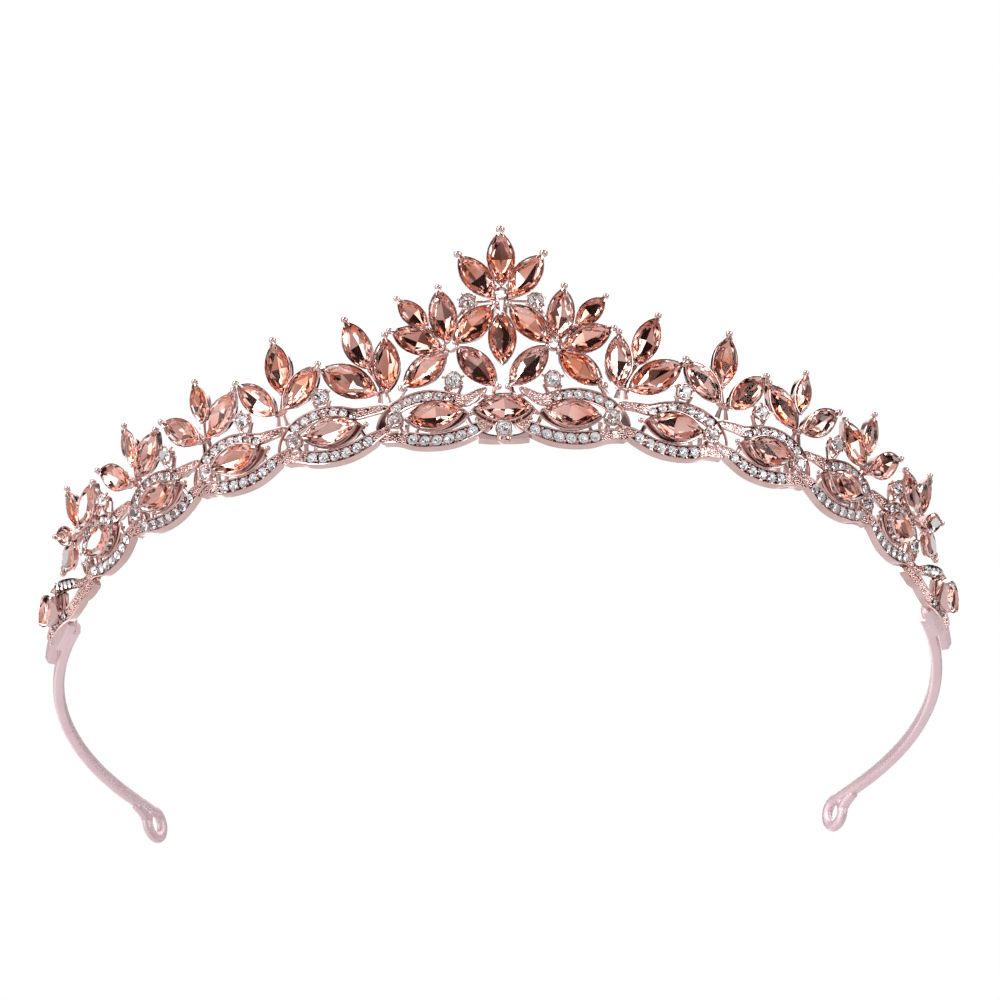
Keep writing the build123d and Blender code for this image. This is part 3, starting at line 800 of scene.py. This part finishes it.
def noise(nodes, links, scale, detail=3.0, roughness=0.5):
    place = nodes.new("ShaderNodeTexCoord")
    node = nodes.new("ShaderNodeTexNoise")
    node.inputs["Scale"].default_value = scale
    node.inputs["Detail"].default_value = detail
    node.inputs["Roughness"].default_value = roughness
    links.new(place.outputs["Object"], node.inputs["Vector"])
    return node


def ramp(nodes, links, source, stops):
    node = nodes.new("ShaderNodeValToRGB")
    for _ in stops[2:]:
        node.color_ramp.elements.new(0.5)
    for element, (at, colour) in zip(node.color_ramp.elements, stops):
        element.position = at
        element.color = (*colour, 1)
    links.new(source, node.inputs[0])
    return node


def metal(name, pale, deep, rough, bump, scale):
    """Plated metal: a slow drift of colour, fine casting texture and uneven polish."""
    mat, nodes, links, bsdf = material(name)
    drift = noise(nodes, links, 160)
    tint = ramp(nodes, links, drift.outputs["Fac"], [(0.32, deep), (0.62, pale)])
    links.new(tint.outputs["Color"], bsdf.inputs["Base Color"])
    bsdf.inputs["Metallic"].default_value = 1.0
    fine = noise(nodes, links, scale, 5.0, 0.6)
    polish = nodes.new("ShaderNodeMapRange")
    polish.inputs["To Min"].default_value = rough[0]
    polish.inputs["To Max"].default_value = rough[1]
    links.new(fine.outputs["Fac"], polish.inputs["Value"])
    links.new(polish.outputs["Result"], bsdf.inputs["Roughness"])
    dent = nodes.new("ShaderNodeBump")
    dent.inputs["Strength"].default_value = bump
    dent.inputs["Distance"].default_value = 0.00008
    links.new(fine.outputs["Fac"], dent.inputs["Height"])
    links.new(dent.outputs["Normal"], bsdf.inputs["Normal"])
    return mat


def glass(name, colour, tint_deep, ior):
    mat, nodes, links, bsdf = material(name)
    drift = noise(nodes, links, 90, 2.0)
    tint = ramp(nodes, links, drift.outputs["Fac"], [(0.3, tint_deep), (0.7, colour)])
    links.new(tint.outputs["Color"], bsdf.inputs["Base Color"])
    bsdf.inputs["Roughness"].default_value = 0.0
    bsdf.inputs["IOR"].default_value = ior
    bsdf.inputs["Transmission Weight"].default_value = 1.0
    bsdf.inputs["Specular IOR Level"].default_value = 0.2
    bsdf.inputs["Specular Tint"].default_value = (*colour, 1)
    return mat


def foil(name, stops, rough):
    """Foiled pavilion: mirror facets whose tint drifts from stone to stone."""
    mat, nodes, links, bsdf = material(name)
    drift = noise(nodes, links, 210, 1.0)
    tint = ramp(nodes, links, drift.outputs["Fac"], stops)
    links.new(tint.outputs["Color"], bsdf.inputs["Base Color"])
    bsdf.inputs["Metallic"].default_value = 1.0
    bsdf.inputs["Roughness"].default_value = rough
    return mat


CAST = metal("rose_gold_cast", (0.80, 0.60, 0.57), (0.66, 0.45, 0.42), (0.06, 0.18), 0.10, 1400)
WIRE = metal("rose_gold_satin_wire", (0.92, 0.74, 0.77), (0.89, 0.70, 0.73), (0.56, 0.60), 0.0, 900)
PEACH = glass("champagne_crystal", (0.97, 0.81, 0.79), (0.93, 0.69, 0.65), 1.25)
PEACH_FOIL = foil("champagne_foil", [(0.32, (0.76, 0.34, 0.21)), (0.50, (0.88, 0.58, 0.51)),
                                     (0.68, (0.94, 0.75, 0.71))], 0.05)
CLEAR = glass("clear_crystal", (1.0, 1.0, 1.0), (0.96, 0.97, 1.0), 1.52)
CLEAR_FOIL = foil("silver_foil", [(0.30, (0.92, 0.93, 0.97)), (0.60, (1.0, 1.0, 1.0))], 0.03)

# ---------------------------------------------------------------- assembly
stone_seats = {name: seats(name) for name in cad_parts
               if "marquise" in name or "stones" in name or name.endswith("pave")}
accents = stone_seats["accent_stones"]
left_accents = [a for a in accents if a.o[0] > 1]
finial_accents = [a for a in accents if a.o[2] > 18]

for name, group in stone_seats.items():
    shape = Shape()
    clear = name == "accent_stones" or name.endswith("pave")
    for seat in group:
        (brilliant if clear else navette)(shape, seat, (0, 1))
    shape.piece("gems_" + name, [CLEAR, CLEAR_FOIL] if clear else [PEACH, PEACH_FOIL], [name],
                "clear_stone" if clear else "champagne_stone", sharp=0)


def both(name, shape, nodes, mats=(CAST,), slot="rose_gold_casting"):
    shape.mirrored().piece("right_" + name, mats, ["right_" + n for n in nodes], slot)
    shape.piece("left_" + name, mats, ["left_" + n for n in nodes], slot)


middle = build_center(accents, stone_seats["center_marquise"][0])
middle.piece("center_setting", [CAST], ["center_link"], "rose_gold_casting")
finial = build_finial(stone_seats["crest_finial_stones"], finial_accents)
finial.piece("finial_setting", [CAST], ["crest_finial"], "rose_gold_casting")
pave = stone_seats["left_pave"]
for index in range(len(UNITS)):
    seat = stone_seats["left_marquise_%d" % (index + 1)][0]
    link = build_link(index, pave, left_accents, seat)
    both("link_setting_%d" % (index + 1), link, ["link_%d" % (index + 1)])
    spray = build_spray(index, stone_seats["left_spray_%d_stones" % (index + 1)])
    both("spray_setting_%d" % (index + 1), spray, ["spray_%d" % (index + 1)])
both("end_setting", build_end(pave, stone_seats["left_end_marquise"][0]), ["end_link"], (CAST, WIRE))
both("flower_setting", build_flower(stone_seats["left_flower_stones"]), ["flower"])
both("wire", build_arm(), ["wire_arm", "eyelet"], (WIRE,), "rose_gold_wire")

# ---------------------------------------------------------------- studio
CAMERA_AT = Vector((-0.01345, -0.57064, -0.31642))
CAMERA_LOOKS_AT = Vector((-0.00076, -0.05683, -0.00686))
CAMERA_ROLL = -1.60


def add_camera():
    data = bpy.data.cameras.new("camera")
    data.lens, data.sensor_width = 142.82, 36
    data.clip_start, data.clip_end = 0.05, 20
    camera = bpy.data.objects.new("camera", data)
    bpy.context.scene.collection.objects.link(camera)
    camera.location = CAMERA_AT
    aim = (CAMERA_LOOKS_AT - CAMERA_AT).to_track_quat("-Z", "Y")
    camera.rotation_mode = "QUATERNION"
    camera.rotation_quaternion = aim @ Quaternion((0, 0, 1), radians(CAMERA_ROLL))
    bpy.context.scene.camera = camera


def add_floor():
    """Pale floor, seen only from above so that a low camera looks past it."""
    mat, nodes, links, bsdf = material("pale_floor")
    bsdf.inputs["Base Color"].default_value = (0.86, 0.86, 0.86, 1)
    bsdf.inputs["Roughness"].default_value = 0.6
    side = nodes.new("ShaderNodeNewGeometry")
    clear = nodes.new("ShaderNodeBsdfTransparent")
    mix = nodes.new("ShaderNodeMixShader")
    links.new(side.outputs["Backfacing"], mix.inputs[0])
    links.new(bsdf.outputs[0], mix.inputs[1])
    links.new(clear.outputs[0], mix.inputs[2])
    links.new(mix.outputs[0], nodes["Material Output"].inputs["Surface"])
    mesh = bpy.data.meshes.new("floor")
    half = 1.5                    # metres
    corners = [(-half, -half, 0), (half, -half, 0), (half, half, 0), (-half, half, 0)]
    mesh.from_pydata(corners, [], [(0, 1, 2, 3)])
    mesh.materials.append(mat)
    floor = bpy.data.objects.new("floor", mesh)
    bpy.context.scene.collection.objects.link(floor)
    floor.location.z = -0.0002
    floor.visible_glossy = floor.visible_transmission = False


def add_light(name, at, size, power):
    """White soft box that looks at the tiara."""
    data = bpy.data.lights.new(name, "AREA")
    data.size, data.energy = size, power
    light = bpy.data.objects.new(name, data)
    bpy.context.scene.collection.objects.link(light)
    light.location = at
    light.rotation_euler = (-Vector(at)).to_track_quat("-Z", "Y").to_euler()


def add_world():
    """White tent in which the stones and the metal reflect cards of grey, brown and white.

    A pale sheet low behind hides the cards there, and the cards dim towards +x.
    """
    world = bpy.data.worlds.new("studio")
    bpy.context.scene.world = world
    world.use_nodes = True
    nodes, links = world.node_tree.nodes, world.node_tree.links
    back = nodes["Background"]
    place = nodes.new("ShaderNodeTexCoord")
    cards = nodes.new("ShaderNodeTexVoronoi")
    cards.inputs["Scale"].default_value = 2.4
    links.new(place.outputs["Generated"], cards.inputs["Vector"])
    split = nodes.new("ShaderNodeSeparateXYZ")
    links.new(cards.outputs["Color"], split.inputs[0])
    tone = ramp(nodes, links, split.outputs["X"],
                [(0.0, (0.02, 0.012, 0.012)), (0.16, (0.20, 0.17, 0.17)), (0.30, (0.60, 0.58, 0.58)),
                 (0.60, (1.0, 0.98, 0.98)), (0.75, (2.5, 2.5, 2.5))])
    tone.color_ramp.interpolation = "CONSTANT"
    way = nodes.new("ShaderNodeSeparateXYZ")
    links.new(place.outputs["Generated"], way.inputs[0])
    side = nodes.new("ShaderNodeMapRange")
    side.inputs["From Min"].default_value = 0.0
    side.inputs["From Max"].default_value = 0.8
    side.inputs["To Min"].default_value = 1.02
    side.inputs["To Max"].default_value = 0.62
    links.new(way.outputs["X"], side.inputs["Value"])
    shade = nodes.new("ShaderNodeVectorMath")
    shade.operation = "SCALE"
    links.new(tone.outputs["Color"], shade.inputs[0])
    links.new(side.outputs["Result"], shade.inputs["Scale"])
    low = nodes.new("ShaderNodeMapRange")
    low.inputs["From Min"].default_value = 0.45
    low.inputs["From Max"].default_value = 0.75
    under = nodes.new("ShaderNodeVectorMath")
    under.operation = "DOT_PRODUCT"
    under.inputs[1].default_value = (0, 0.5, -1)
    links.new(place.outputs["Generated"], under.inputs[0])
    links.new(under.outputs["Value"], low.inputs["Value"])
    sheet = nodes.new("ShaderNodeMix")
    sheet.data_type = "RGBA"
    sheet.inputs["B"].default_value = (0.80, 0.78, 0.79, 1)
    links.new(low.outputs["Result"], sheet.inputs["Factor"])
    links.new(shade.outputs["Vector"], sheet.inputs["A"])
    path = nodes.new("ShaderNodeLightPath")
    mix = nodes.new("ShaderNodeMix")
    mix.data_type = "RGBA"
    mix.inputs["B"].default_value = (1, 1, 1, 1)
    links.new(path.outputs["Is Camera Ray"], mix.inputs["Factor"])
    links.new(sheet.outputs["Result"], mix.inputs["A"])
    links.new(mix.outputs["Result"], back.inputs["Color"])
    back.inputs["Strength"].default_value = 1.0


add_camera()
add_floor()
add_world()
add_light("key", (-0.6, -0.7, 0.5), 0.45, 4)
add_light("fill", (0.7, -0.5, 0.0), 0.4, 2)
add_light("top", (0.0, 0.1, 0.9), 0.7, 1.2)
bpy.context.scene.view_settings.view_transform = "Standard"
